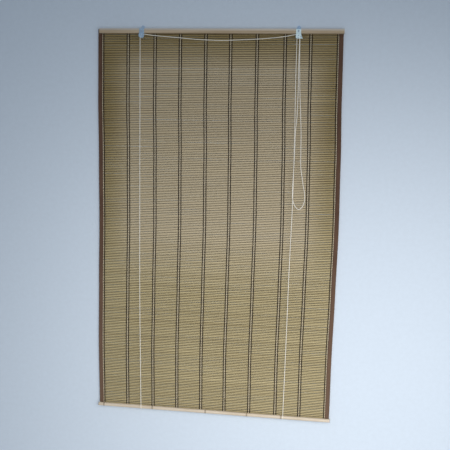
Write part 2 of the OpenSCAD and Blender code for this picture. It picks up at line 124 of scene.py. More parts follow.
def srgb(red: int, green: int, blue: int) -> Colour:
    """Turn an 8-bit display colour into a linear one.

    Args:
        red: Red, from 0 to 255.
        green: Green, from 0 to 255.
        blue: Blue, from 0 to 255.

    Returns:
        The linear colour, with full alpha.
    """

    def linear(level: int) -> float:
        """Linear share of one 8-bit channel."""
        share = level / 255
        return share / 12.92 if share <= 0.04045 else ((share + 0.055) / 1.055) ** 2.4

    return (linear(red), linear(green), linear(blue), 1.0)


def box_corners(node: str) -> tuple[Vector, Vector]:
    """Lowest and highest corner of a CAD node's box at rest."""
    low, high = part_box(node)
    return Vector(low), Vector(high)


def middle(node: str) -> Vector:
    """Middle of a CAD node's box at rest."""
    low, high = box_corners(node)
    return (low + high) / 2


@cache
def mat_heights() -> Pair:
    """Heights of the mat's top and bottom edges."""
    low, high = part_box("slat_mat")
    return high[2], low[2]


def gather(piece: Piece, top: float, low: float) -> None:
    """Put a soft piece on the blind's body, with a mesh of its own.

    Args:
        piece: The finished mesh.
        top: Height of the end that stays; not used.
        low: Height of the end that goes up with the rod; not used.
    """
    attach(piece, Body.BLIND.value)
    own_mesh(piece)


class NodeGraph:
    """One material's nodes, with short methods for the kinds that the finishes share."""

    def __init__(self, name: str) -> None:
        """Start a material that has a shader and an output.

        Args:
            name: The material's name.
        """
        self.material = bpy.data.materials.new(name)
        self.material.use_nodes = True
        self.tree = self.material.node_tree
        self.shader = self.tree.nodes["Principled BSDF"]

    def feed(self, socket: Socket, value: Feed) -> None:
        """Link an input to another node's output, or set it to a plain value.

        Args:
            socket: The input.
            value: An output socket, or a value that the input takes.
        """
        if isinstance(value, Socket):
            self.tree.links.new(value, socket)
        else:
            socket.default_value = value

    def add(self, kind: str, inputs: dict[Union[int, str], Feed], **settings: object) -> bpy.types.Node:
        """Add a node.

        Args:
            kind: Blender's name of the node type.
            inputs: What goes into the node's inputs, by name or number.
            **settings: The node's own properties.

        Returns:
            The new node.
        """
        node = self.tree.nodes.new(kind)
        for name, value in settings.items():
            setattr(node, name, value)
        for key, value in inputs.items():
            self.feed(node.inputs[key], value)
        return node

    def place(self, scale: Triple) -> Socket:
        """Object coordinates, stretched by a scale on each axis."""
        coordinates = self.add("ShaderNodeTexCoord", {}).outputs["Object"]
        return self.add("ShaderNodeMapping", {"Vector": coordinates, "Scale": scale}).outputs["Vector"]

    def lay(self) -> list[Socket]:
        """The three parts of the mesh's own lay attribute."""
        lay = self.add("ShaderNodeAttribute", {}, attribute_name=LAY).outputs["Vector"]
        return list(self.add("ShaderNodeSeparateXYZ", {"Vector": lay}).outputs)

    def spot(self) -> list[Socket]:
        """The three object coordinates, in metres."""
        return list(self.add("ShaderNodeSeparateXYZ", {"Vector": self.place((1, 1, 1))}).outputs)

    def height(self) -> Socket:
        """Height in the blind, in metres."""
        return self.spot()[2]

    def noise(self, scale: Triple, detail: float = 2.0) -> Socket:
        """Noise over object coordinates, with so many features to the metre on each axis."""
        inputs = {"Vector": self.place(scale), "Scale": 1.0, "Detail": detail}
        return self.add("ShaderNodeTexNoise", inputs).outputs["Fac"]

    def math(self, operation: str, first: Feed, second: Feed = 0.0) -> Socket:
        """One sum, product or other operation on two numbers."""
        return self.add("ShaderNodeMath", {0: first, 1: second}, operation=operation).outputs[0]

    def wave(self, angle: Feed, turns: float, along: Feed, rate: float) -> Socket:
        """Sine that runs round and along a strand.

        Args:
            angle: Angle round the strand, in radians.
            turns: Waves in one turn round the strand.
            along: Distance along the strand.
            rate: Radians for each unit of that distance.

        Returns:
            The wave, from -1 to 1.
        """
        round_part = self.math("MULTIPLY", angle, turns)
        along_part = self.math("MULTIPLY", along, rate)
        return self.math("SINE", self.math("ADD", round_part, along_part))

    def grade(self, value: Feed, start: float, end: float, low: float, high: float) -> Socket:
        """Map the range start to end onto low to high, clamped."""
        inputs = {"Value": value, "From Min": start, "From Max": end, "To Min": low, "To Max": high}
        return self.add("ShaderNodeMapRange", inputs).outputs["Result"]

    def mix(self, share: Feed, first: Feed, second: Feed, blend: str = "MIX") -> Socket:
        """Mix a share of the second colour into the first."""
        inputs = {0: share, 6: first, 7: second}
        return self.add("ShaderNodeMix", inputs, data_type="RGBA", blend_type=blend).outputs[2]

    def bump(self, height: Feed, depth: float) -> Socket:
        """Normals of a relief whose height runs from 0 to 1 over a depth in metres."""
        inputs = {"Height": height, "Distance": depth, "Strength": 1.0}
        return self.add("ShaderNodeBump", inputs).outputs["Normal"]

    def surface(self, **inputs: Feed) -> Material:
        """Fill the shader's inputs, whose names are given with underscores for spaces.

        Args:
            **inputs: Values or sockets.

        Returns:
            The finished material.
        """
        for name, value in inputs.items():
            self.feed(self.shader.inputs[name.replace("_", " ")], value)
        return self.material


@dataclass(frozen=True)
class Finish(ABC):
    """How one of the record's material slots looks."""

    slot: Slot
    pale: Colour
    dark: Colour

    @abstractmethod
    def material(self) -> Material:
        """Make this finish's material."""


@cache
def material_for(finish: Finish) -> Material:
    """The one material of a finish."""
    return finish.material()


@dataclass(frozen=True)
class BattenWood(Finish):
    """Planed softwood grained along the headrail, with a painted sheen at its top and painted shade at its
    foot.
    """

    top_sheen: Colour = srgb(198, 208, 218)
    top_sheen_depth: float = 10.0 * MM
    top_sheen_share: float = 0.6
    grime_and_shade: Colour = srgb(84, 66, 44)
    foot_shade_depth: float = 4.0 * MM
    foot_shade_share: float = 0.7
    grain_depth: float = 0.12 * MM

    def material(self) -> Material:
        """Long bands of early and late wood under fine pores.

        Returns:
            The material.
        """
        graph = NodeGraph(self.slot.value)
        bands = graph.noise((3.5, 190, 160), 4.0)
        pores = graph.noise((45, 2200, 2200), 3.0)
        stains = graph.noise((9, 25, 25), 2.0)
        colour = graph.mix(graph.grade(bands, 0.32, 0.68, 0, 1), self.pale, self.dark)
        worn = graph.mix(graph.grade(stains, 0.45, 0.75, 0, 0.35), colour, self.dark)
        speckled = graph.mix(graph.grade(pores, 0.55, 0.8, 0, 0.4), worn, self.dark, "MULTIPLY")
        (_, _, low), (_, _, top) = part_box("headrail")
        height = graph.height()
        # Painted sheen: the rail's face turns bluish-grey towards its top, as sky light on its edge would
        # make it.
        top_sheen = graph.grade(height, top - self.top_sheen_depth, top, 0, self.top_sheen_share)
        # Painted shade: the rail's face darkens over the last few millimetres at its foot.
        grime_and_shade = graph.grade(height, low, low + self.foot_shade_depth, self.foot_shade_share, 0)
        sheened_and_shaded = graph.mix(grime_and_shade, graph.mix(top_sheen, speckled, self.top_sheen), self.grime_and_shade)
        rough = graph.grade(bands, 0.3, 0.7, 0.52, 0.68)
        relief = graph.math("ADD", graph.math("MULTIPLY", bands, 0.6), pores)
        normal = graph.bump(relief, self.grain_depth)
        return graph.surface(Base_Color=sheened_and_shaded, Roughness=rough, Normal=normal)


@dataclass(frozen=True)
class SplitReed(Finish):
    """Split reed; the lay attribute holds a slat's tone and the share of the way to its edges.

    The middle of the mat's upper half is a paler field of painted light from behind, and the painted
    shade on the slats' edges is wider outside it. Places in the mat are in metres from the frame's origin.
    """

    mark: Colour = srgb(84, 66, 40)
    edge: Colour = srgb(58, 46, 26)
    top_shade: Colour = srgb(216, 207, 183)
    paler_tone: Colour = srgb(211, 198, 177)
    paler_share: float = 0.54
    top_shade_span: Pair = (-1.05, -0.35)
    field_sides: Pair = (0.36, 0.46)
    field_foot: Pair = (-1.1, -0.85)
    field_head: Pair = (-0.17, -0.05)
    edge_shade_span: Pair = (0.34, 0.88)
    edge_shade_share: float = 0.97
    edge_shade_widening: Pair = (0.1, 0.15)
    fibre_depth: float = 0.1 * MM

    def material(self) -> Material:
        """Fibres over each slat's tone, with painted shade towards the mat's top and on the slats' edges,
        and scars.

        Returns:
            The material.
        """
        graph = NodeGraph(self.slot.value)
        tone, edge, _ = graph.lay()
        place, _, height = graph.spot()
        fibres = graph.noise((14, 1500, 1500), 4.0)
        drift = graph.noise((2.2, 2.0, 3.0), 3.0)
        scars = graph.noise((26, 10, 300), 1.0)
        streak = graph.math("ADD", tone, graph.grade(fibres, 0.25, 0.75, -0.14, 0.14))
        drifted = graph.math("ADD", streak, graph.grade(drift, 0.3, 0.7, -0.1, 0.1))
        colour = graph.mix(graph.grade(drifted, 0, 1, 0, 1), self.dark, self.pale)
        # Painted shade: the reed is darker and browner towards the mat's top, under the headrail.
        top_shaded = graph.mix(graph.grade(height, *self.top_shade_span, 0, 1), colour, self.top_shade, "MULTIPLY")
        # Painted light: a paler field in the middle of the upper half, as if lit from behind.
        inward = graph.grade(graph.math("ABSOLUTE", place), *self.field_sides, self.paler_share, 0)
        over_foot = graph.grade(height, *self.field_foot, 0, 1)
        under_head = graph.grade(height, *self.field_head, 1, 0)
        field_share = graph.math("MULTIPLY", inward, graph.math("MULTIPLY", over_foot, under_head))
        tinted = graph.mix(field_share, top_shaded, self.paler_tone)
        # Painted shade: the slats' edges are painted dark for the shade between slats, wider outside the
        # paler field and towards the top.
        outside = graph.grade(field_share, 0, self.paler_share, 1, 0)
        widening = graph.grade(height, *self.top_shade_span, *self.edge_shade_widening)
        edge_shade_place = graph.math("ADD", edge, graph.math("MULTIPLY", widening, outside))
        edge_shaded = graph.mix(graph.grade(edge_shade_place, *self.edge_shade_span, 0, self.edge_shade_share), tinted, self.edge)
        scarred = graph.mix(graph.grade(scars, 0.7, 0.8, 0, 0.5), edge_shaded, self.mark)
        rough = graph.grade(fibres, 0.3, 0.7, 0.5, 0.68)
        normal = graph.bump(fibres, self.fibre_depth)
        return graph.surface(Base_Color=scarred, Roughness=rough, Specular_IOR_Level=0.35, Normal=normal)


@dataclass(frozen=True)
class BambooCane(Finish):
    """Peeled cane; the lay attribute holds how much of a growth ring and of cut pith a point is."""

    scar: Colour = srgb(92, 70, 46)
    fibre_depth: float = 0.08 * MM

    def material(self) -> Material:
        """Waxy skin with long fibres, darker scars on the rings and faint handling stains.

        Returns:
            The material.
        """
        graph = NodeGraph(self.slot.value)
        ring, pith, _ = graph.lay()
        fibres = graph.noise((10, 900, 900), 4.0)
        stains = graph.noise((14, 60, 60), 3.0)
        colour = graph.mix(graph.grade(fibres, 0.3, 0.72, 0, 0.8), self.pale, self.dark)
        stained = graph.mix(graph.grade(stains, 0.5, 0.8, 0, 0.6), colour, self.dark)
        ringed = graph.mix(graph.grade(ring, 0.15, 0.9, 0, 0.85), stained, self.scar)
        cut = graph.mix(pith, ringed, self.scar)
        rough = graph.grade(fibres, 0.3, 0.7, 0.36, 0.52)
        normal = graph.bump(fibres, self.fibre_depth)
        return graph.surface(
            Base_Color=cut, Roughness=rough, Normal=normal, Coat_Weight=0.15, Coat_Roughness=0.3
        )


@dataclass(frozen=True)
class TwistedYarn(Finish):
    """Plied yarn; the lay attribute holds the cosine and sine round it and the distance along it."""

    ply_length: float = 2.2 * MM
    plies: float = 3.0
    ply_depth: float = 0.22 * MM
    dip_dirt_and_shade: Colour = srgb(52, 42, 30)
    dip_dirt_and_shade_share: float = 0.0
    dip_dirt_and_shade_span: Pair = (0.3, 0.85)

    def material(self) -> Material:
        """Slanting plies with fuzz and painted shade in their grooves, a little paler where the yarn stands
        out, and darker with dirt and painted shade where it dips.

        Returns:
            The material.
        """
        graph = NodeGraph(self.slot.value)
        cosine, sine, along = graph.lay()
        angle = graph.math("ARCTAN2", sine, cosine)
        plies = graph.wave(angle, self.plies, along, math.tau / self.ply_length)
        fuzz = graph.noise((1900, 1900, 1900), 3.0)
        wear = graph.noise((40, 40, 22), 3.0)
        height = graph.math("ADD", graph.grade(plies, -1, 1, 0, 0.7), graph.math("MULTIPLY", fuzz, 0.3))
        # Painted shade: the colour is darker in the grooves between the plies.
        colour = graph.mix(graph.grade(height, 0.2, 0.85, 0, 1), self.dark, self.pale)
        tinted = graph.mix(graph.grade(wear, 0.45, 0.75, 0, 0.5), colour, self.pale)
        if self.dip_dirt_and_shade_share:
            tinted = self.darkened_in_dips(graph, tinted)
        normal = graph.bump(height, self.ply_depth)
        return graph.surface(
            Base_Color=tinted, Roughness=0.85, Specular_IOR_Level=0.2, Sheen_Weight=0.1, Normal=normal
        )

    def darkened_in_dips(self, graph: NodeGraph, colour: Socket) -> Socket:
        """Darken a colour with dirt and painted shade near the mat's middle plane, where a yarn dips
        between two slats.

        Args:
            graph: The material's nodes.
            colour: The clean colour.

        Returns:
            The darkened colour.
        """
        near, far = (corner[1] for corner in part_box("cream_warp_threads"))
        reach = (far - near) / 2
        off_middle = graph.math("ABSOLUTE", graph.math("SUBTRACT", graph.spot()[1], near + reach))
        span = (share * reach for share in self.dip_dirt_and_shade_span)
        # Dirt and painted shade darken the yarn where it dips between slats.
        return graph.mix(graph.grade(off_middle, *span, self.dip_dirt_and_shade_share, 0), colour, self.dip_dirt_and_shade)


@dataclass(frozen=True)
class WovenTape(Finish):
    """Plain-woven cotton tape; the lay attribute holds the distances across it and up from its foot."""

    paler_tone: Colour = srgb(140, 118, 99)
    paler_share: float = 0.35
    paler_top: float = 0.9
    yarn_pitch: float = 0.9 * MM
    weave_depth: float = 0.16 * MM

    def material(self) -> Material:
        """Over-and-under weave, painted darker where the yarns dip, fading in patches and paler towards the
        foot.

        Returns:
            The material.
        """
        graph = NodeGraph(self.slot.value)
        across, along, _ = graph.lay()
        rate = math.pi / self.yarn_pitch
        warp = graph.math("SINE", graph.math("MULTIPLY", across, rate))
        weft = graph.math("SINE", graph.math("MULTIPLY", along, rate))
        weave = graph.grade(graph.math("MULTIPLY", warp, weft), -1, 1, 0, 1)
        slub = graph.noise((300, 300, 60), 3.0)
        fade = graph.noise((30, 30, 9), 4.0)
        height = graph.math("ADD", graph.math("MULTIPLY", weave, 0.8), graph.math("MULTIPLY", slub, 0.2))
        patches = graph.grade(fade, 0.3, 0.7, 0, 0.55)
        # Painted shade: the colour is darker where the weave dips, with patches of fading on top.
        uneven = graph.math("ADD", graph.math("MULTIPLY", weave, 0.45), patches)
        dyed = graph.mix(uneven, self.dark, self.pale)
        low_share = graph.grade(along, 0, self.paler_top, self.paler_share, 0)
        colour = graph.mix(low_share, dyed, self.paler_tone)
        normal = graph.bump(height, self.weave_depth)
        return graph.surface(
            Base_Color=colour, Roughness=0.88, Specular_IOR_Level=0.2, Sheen_Weight=0.15, Normal=normal
        )


@dataclass(frozen=True)
class PlatedSteel(Finish):
    """Zinc-plated or bright steel, with dull patches and fine scratches."""

    shine: float = 0.2
    smooth: float = 0.4
    dull: float = 0.55
    spangle: float = 260.0
    scratch_depth: float = 0.02 * MM

    def material(self) -> Material:
        """Cloudy plating over metal, rougher where it has dulled.

        Returns:
            The material.
        """
        graph = NodeGraph(self.slot.value)
        clouds = graph.noise((self.spangle, self.spangle, self.spangle), 3.0)
        scratches = graph.noise((500, 2600, 4200), 2.0)
        worn = graph.grade(clouds, 0.35, 0.7, self.smooth, self.dull)
        rough = graph.math("ADD", worn, graph.grade(scratches, 0.5, 0.8, 0, 0.12))
        normal = graph.bump(scratches, self.scratch_depth)
        colour = self.colour(graph, clouds)
        return graph.surface(Base_Color=colour, Metallic=self.shine, Roughness=rough, Normal=normal)

    def colour(self, graph: NodeGraph, clouds: Socket) -> Socket:
        """The plating's colour, darker in its clouds."""
        return graph.mix(graph.grade(clouds, 0.35, 0.68, 0, 1), self.pale, self.dark)


@dataclass(frozen=True)
class ShadedTabPlating(PlatedSteel):
    """Bright plating with painted shade, a dull blue, on the tab above the headrail."""

    tab_shade: Colour = srgb(160, 190, 220)
    starts: float = 4.0 * MM
    ends: float = 2.0 * MM

    def colour(self, graph: NodeGraph, clouds: Socket) -> Socket:
        """Bright to a little below the top of the rail, with painted shade above.

        Args:
            graph: The material's nodes.
            clouds: Noise that clouds the plating.

        Returns:
            The colour.
        """
        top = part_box("headrail")[1][2]
        # Painted shade: the tab above the rail turns a dull blue, as in the rail's shadow.
        share = graph.grade(graph.height(), top - self.starts, top - self.ends, 0, 1)
        return graph.mix(share, super().colour(graph, clouds), self.tab_shade)


@dataclass(frozen=True)
class MouldedNylon(Finish):
    """Moulded off-white nylon, rubbed a little darker by the cord."""

    orange_peel: float = 0.03 * MM

    def material(self) -> Material:
        """Milky plastic with a faint moulded skin and a grey rub.

        Returns:
            The material.
        """
        graph = NodeGraph(self.slot.value)
        skin = graph.noise((1400, 1400, 1400), 2.0)
        rub = graph.noise((220, 260, 220), 3.0)
        colour = graph.mix(graph.grade(rub, 0.42, 0.72, 0, 0.8), self.pale, self.dark)
        rough = graph.grade(rub, 0.35, 0.7, 0.32, 0.48)
        normal = graph.bump(skin, self.orange_peel)
        return graph.surface(
            Base_Color=colour, Roughness=rough, Normal=normal, Subsurface_Weight=0.08,
            Subsurface_Radius=(0.6 * MM, 0.5 * MM, 0.4 * MM),
        )


@dataclass(frozen=True)
class BraidedCord(Finish):
    """Braided cord; the lay attribute holds the cosine and sine round it and the distance along it."""

    strands: float = 4.0
    braid_length: float = 4.4 * MM
    braid_depth: float = 0.12 * MM

    def material(self) -> Material:
        """Two sets of strands that cross over each other, with painted shade between them and patches of
        grime.

        Returns:
            The material.
        """
        graph = NodeGraph(self.slot.value)
        cosine, sine, along = graph.lay()
        angle = graph.math("ARCTAN2", sine, cosine)
        rate = math.tau * self.strands / self.braid_length / 2
        right = graph.wave(angle, self.strands, along, rate)
        left = graph.wave(angle, self.strands, along, -rate)
        braid = graph.grade(graph.math("MAXIMUM", right, left), -0.4, 1, 0, 1)
        grime_and_shade = graph.noise((60, 60, 18), 3.0)
        # Painted shade: the colour is darker between the strands.
        colour = graph.mix(graph.grade(braid, 0, 0.7, 0, 1), self.dark, self.pale)
        used = graph.mix(graph.grade(grime_and_shade, 0.45, 0.8, 0, 0.3), colour, self.dark)
        normal = graph.bump(braid, self.braid_depth)
        return graph.surface(Base_Color=used, Roughness=0.78, Specular_IOR_Level=0.25, Normal=normal)


@dataclass(frozen=True)
class Palette:
    """The finishes of the whole blind."""

    batten: Finish = BattenWood(Slot.BATTEN_WOOD, srgb(208, 190, 164), srgb(174, 154, 126))
    reed: Finish = SplitReed(Slot.REED, srgb(227, 212, 166), srgb(178, 161, 117))
    cane: Finish = BambooCane(Slot.CANE, srgb(224, 213, 197), srgb(192, 174, 148))
    brown: Finish = TwistedYarn(Slot.BROWN_THREAD, srgb(46, 33, 22), srgb(24, 16, 10))
    cream: Finish = TwistedYarn(Slot.CREAM_THREAD, srgb(244, 233, 210), srgb(200, 186, 158), dip_dirt_and_shade_share=0.9)
    tape: Finish = WovenTape(Slot.BINDING_TAPE, srgb(104, 79, 64), srgb(70, 50, 40))
    stitch: Finish = TwistedYarn(Slot.BINDING_TAPE, srgb(84, 58, 46), srgb(54, 36, 28), 0.8 * MM)
    zinc: Finish = PlatedSteel(Slot.ZINC_PLATE, srgb(176, 202, 226), srgb(140, 170, 198))
    # Painted highlight: the lock plating's colours are near white, brighter than the left hanger's zinc.
    bright: Finish = ShadedTabPlating(
        Slot.BRIGHT_ZINC, srgb(232, 252, 255), srgb(208, 235, 248), shine=0.1, smooth=0.35, dull=0.5
    )
    rivet: Finish = PlatedSteel(Slot.RIVET_STEEL, srgb(196, 214, 228), srgb(160, 180, 198))
    roller: Finish = PlatedSteel(Slot.ROLLER_STEEL, srgb(218, 226, 228), srgb(182, 192, 196), shine=0.25)
    screw: Finish = PlatedSteel(Slot.SCREW_STEEL, srgb(192, 208, 226), srgb(154, 172, 194), shine=0.15)
    staple: Finish = PlatedSteel(
        Slot.STAPLE_WIRE, srgb(196, 196, 192), srgb(140, 138, 132), shine=0.9, smooth=0.28, dull=0.5
    )
    nylon: Finish = MouldedNylon(Slot.PULLEY_NYLON, srgb(232, 228, 214), srgb(180, 174, 158))
    cord: Finish = BraidedCord(Slot.CORD, srgb(254, 252, 246), srgb(236, 231, 220))


PALETTE = Palette()


@dataclass
class Sketch:
    """Points and faces of a piece, gathered before its mesh is made."""

    name: str
    points: list[Vector] = field(default_factory=list)
    lays: list[Triple] = field(default_factory=list)
    faces: list[tuple[int, ...]] = field(default_factory=list)

    def loft(self, rings: Sequence[Sequence[Vector]], lays: Sequence[Sequence[Triple]]) -> None:
        """Join rings of points into a closed skin with capped ends.

        Args:
            rings: Rings of equal length, each anticlockwise seen against the way they run.
            lays: The lay attribute of each point.
        """
        first, sides = len(self.points), len(rings[0])
        last = first + (len(rings) - 1) * sides
        for ring, lay in zip(rings, lays):
            self.points.extend(ring)
            self.lays.extend(lay)
        for start in range(first, last, sides):
            for side in range(sides):
                following = (side + 1) % sides
                near, far = start + side, start + following
                self.faces.append((near, far, far + sides, near + sides))
        self.faces.append(tuple(first + side for side in reversed(range(sides))))
        self.faces.append(tuple(last + side for side in range(sides)))

    def tube(
        self, path: Sequence[Vector], half: Pair, sides: int, across: Vector,
        widths: Sequence[float] = (1.0,),
    ) -> None:
        """Add an oval tube along a path.

        Args:
            path: The tube's ring centres.
            half: Half of its width and half of its thickness.
            sides: Points in a ring.
            across: The way its width lies, which the path never follows.
            widths: Shares of that width, repeated along the path.
        """
        rings: list[list[Vector]] = []
        lays: list[list[Triple]] = []
        angles = [math.tau * side / sides for side in range(sides)]
        turns = [(math.cos(angle), math.sin(angle)) for angle in angles]
        walked = 0.0
        for index, point in enumerate(path):
            before = path[max(index - 1, 0)]
            after = path[min(index + 1, len(path) - 1)]
            ahead = (after - before).normalized()
            wide = (across - across.dot(ahead) * ahead).normalized()
            thick = ahead.cross(wide)
            walked += (point - before).length
            width = half[0] * widths[index % len(widths)]
            rings.append([point + width * c * wide + half[1] * s * thick for c, s in turns])
            lays.append([(c, s, walked) for c, s in turns])
        self.loft(rings, lays)

    def build(self, finish: Finish) -> Piece:
        """Make the mesh object.

        Args:
            finish: What it is dressed in.

        Returns:
            The object, at the origin.
        """
        mesh = bpy.data.meshes.new(self.name)
        mesh.from_pydata(self.points, [], self.faces)
        lay = mesh.attributes.new(LAY, "FLOAT_VECTOR", "POINT")
        lay.data.foreach_set("vector", [part for triple in self.lays for part in triple])
        mesh.polygons.foreach_set("use_smooth", [True] * len(mesh.polygons))
        mesh.materials.append(material_for(finish))
        piece = bpy.data.objects.new(self.name, mesh)
        bpy.context.scene.collection.objects.link(piece)
        LOG.info("%s: %d faces", self.name, len(self.faces))
        return piece


@dataclass
class Wander:
    """A smooth, seeded wander along a length: a few sines of chance phase."""

    chance: random.Random
    size: float
    rates: tuple[float, ...] = (2.1, 5.3, 11.7)
    phases: list[float] = field(init=False)

    def __post_init__(self) -> None:
        """Draw the phases."""
        self.phases = [self.chance.uniform(0, math.tau) for _ in self.rates]

    def at(self, place: float) -> float:
        """The wander at a place along the length, in the unit of its size."""
        waves = (math.sin(rate * place + phase) for rate, phase in zip(self.rates, self.phases))
        return self.size * sum(waves) / len(self.rates)


@dataclass(frozen=True)
class SoftLamp:
    """A broad square lamp."""

    name: str
    place: Triple
    aim: Triple
    watts: float
    colour: Triple
    size: float = 2.2
    spread_deg: float = 104.0

    def build(self) -> None:
        """Add the lamp, turned towards its aim."""
        data = bpy.data.lights.new(self.name, "AREA")
        data.shape = "SQUARE"
        data.size = self.size
        data.energy = self.watts
        data.color = self.colour
        data.spread = math.radians(self.spread_deg)
        lamp = bpy.data.objects.new(self.name, data)
        lamp.location = self.place
        turn = Vector(self.aim) - Vector(self.place)
        lamp.rotation_euler = turn.to_track_quat("-Z", "Y").to_euler()
        bpy.context.scene.collection.objects.link(lamp)


@dataclass
class Studio:
    """Camera, plain light, floor and wall."""

    lens_mm: float = 60.0
    camera_place: Triple = (0.4852, -3.0812, -0.4119)
    camera_turn_deg: Triple = (82.768, -1.211, 8.414)
    floor_drop: float = 0.9
    wall_behind: float = 1.0 * MM
    stage_half: float = 4.0
    wall_height: float = 5.0
    wall_colour: Colour = srgb(212, 225, 240)
    floor_colour: Colour = srgb(214, 216, 216)
    sky_colour: Colour = srgb(232, 242, 252)
    sky_above: float = 0.46
    sky_below: float = 0.24
    lamps: tuple[SoftLamp, ...] = (
        SoftLamp("room_lamp", (0.95, -1.9, -1.15), (0.3, 0.0, -1.85), 19.5, (1.0, 0.955, 0.905)),
        SoftLamp("back_lamp", (-0.6, 2.6, -0.3), (0.0, 0.0, -0.85), 26.0, (1.0, 0.97, 0.94)),
    )

    def set_camera(self) -> None:
        """Put the camera where the photograph was taken from."""
        data = bpy.data.cameras.new("camera")
        data.lens = self.lens_mm
        camera = bpy.data.objects.new("camera", data)
        camera.location = self.camera_place
        camera.rotation_euler = [math.radians(turn) for turn in self.camera_turn_deg]
        bpy.context.scene.collection.objects.link(camera)
        bpy.context.scene.camera = camera
        bpy.context.scene.view_settings.view_transform = "Standard"

    def set_light(self) -> None:
        """Light the room evenly, with a soft lamp from the lower right and one for the back."""
        world = bpy.data.worlds.new("room_light")
        world.use_nodes = True
        background = world.node_tree.nodes["Background"]
        background.inputs["Color"].default_value = self.sky_colour
        nodes, links = world.node_tree.nodes, world.node_tree.links
        parts = nodes.new("ShaderNodeSeparateXYZ")
        links.new(nodes.new("ShaderNodeTexCoord").outputs["Generated"], parts.inputs["Vector"])
        level = nodes.new("ShaderNodeMapRange")
        span = {"From Min": -1, "From Max": 1, "To Min": self.sky_below, "To Max": self.sky_above}
        for name, value in span.items():
            level.inputs[name].default_value = value
        links.new(parts.outputs["Z"], level.inputs["Value"])
        links.new(level.outputs["Result"], background.inputs["Strength"])
        bpy.context.scene.world = world
        for lamp in self.lamps:
            lamp.build()

    def plane(self, name: str, corners: Sequence[Triple], colour: Colour, clear_back: bool) -> Piece:
        """Add a plain stage plane.

        Args:
            name: The object's name.
            corners: Its four corners, anticlockwise seen from its front.
            colour: Its colour.
            clear_back: Whether it is clear when looked at from behind.

        Returns:
            The plane.
        """
        graph = NodeGraph(name)
        grain = graph.noise((60, 60, 60), 4.0)
        paint = graph.mix(graph.grade(grain, 0.3, 0.7, 0.97, 1.0), (0, 0, 0, 1), colour)
        material = graph.surface(Base_Color=paint, Roughness=0.9, Specular_IOR_Level=0.1)
        if clear_back:
            seen = graph.add("ShaderNodeNewGeometry", {}).outputs["Backfacing"]
            clear = graph.add("ShaderNodeBsdfTransparent", {}).outputs["BSDF"]
            inputs = {0: seen, 1: graph.shader.outputs["BSDF"], 2: clear}
            either = graph.add("ShaderNodeMixShader", inputs).outputs["Shader"]
            graph.feed(graph.tree.nodes["Material Output"].inputs["Surface"], either)
        mesh = bpy.data.meshes.new(name)
        mesh.from_pydata(corners, [], [(0, 1, 2, 3)])
        mesh.materials.append(material)
        plane = bpy.data.objects.new(name, mesh)
        bpy.context.scene.collection.objects.link(plane)
        return plane

    def set_stage(self) -> None:
        """Add the floor, and the wall that the blind hangs on."""
        half, back = self.stage_half, CAD_BOX[1][1] + self.wall_behind
        low = CAD_BOX[0][2] - self.floor_drop
        high = low + self.wall_height
        floor = [(-half, -half, low), (half, -half, low), (half, half, low), (-half, half, low)]
        wall = [(-half, back, low), (half, back, low), (half, back, high), (-half, back, high)]
        self.plane("floor", floor, self.floor_colour, clear_back=False)
        backdrop = self.plane("wall", wall, self.wall_colour, clear_back=True)
        backdrop.visible_shadow = False
        backdrop.visible_diffuse = False


class CordLay(Enum):
    """How a run of the cord lies."""

    TAUT = "taut"
    HANGING = "hanging"


class CordMotion(Enum):
    """What a run of the cord does when the rod is lifted."""

    STILL = "still"
    GATHERS = "gathers"
    LIFTED = "lifted"


class CordEnd(Enum):
    """What a run of the cord ends at."""

    OBJECT = "object"
    KNOT = "knot"


@dataclass(frozen=True)
class CordRun:
    """One run of the cord, named as the CAD node that it stands for."""

    node: str
    route: list[Vector]
    across: Vector
    lay: CordLay
    motion: CordMotion
    far_end: CordEnd = CordEnd.OBJECT


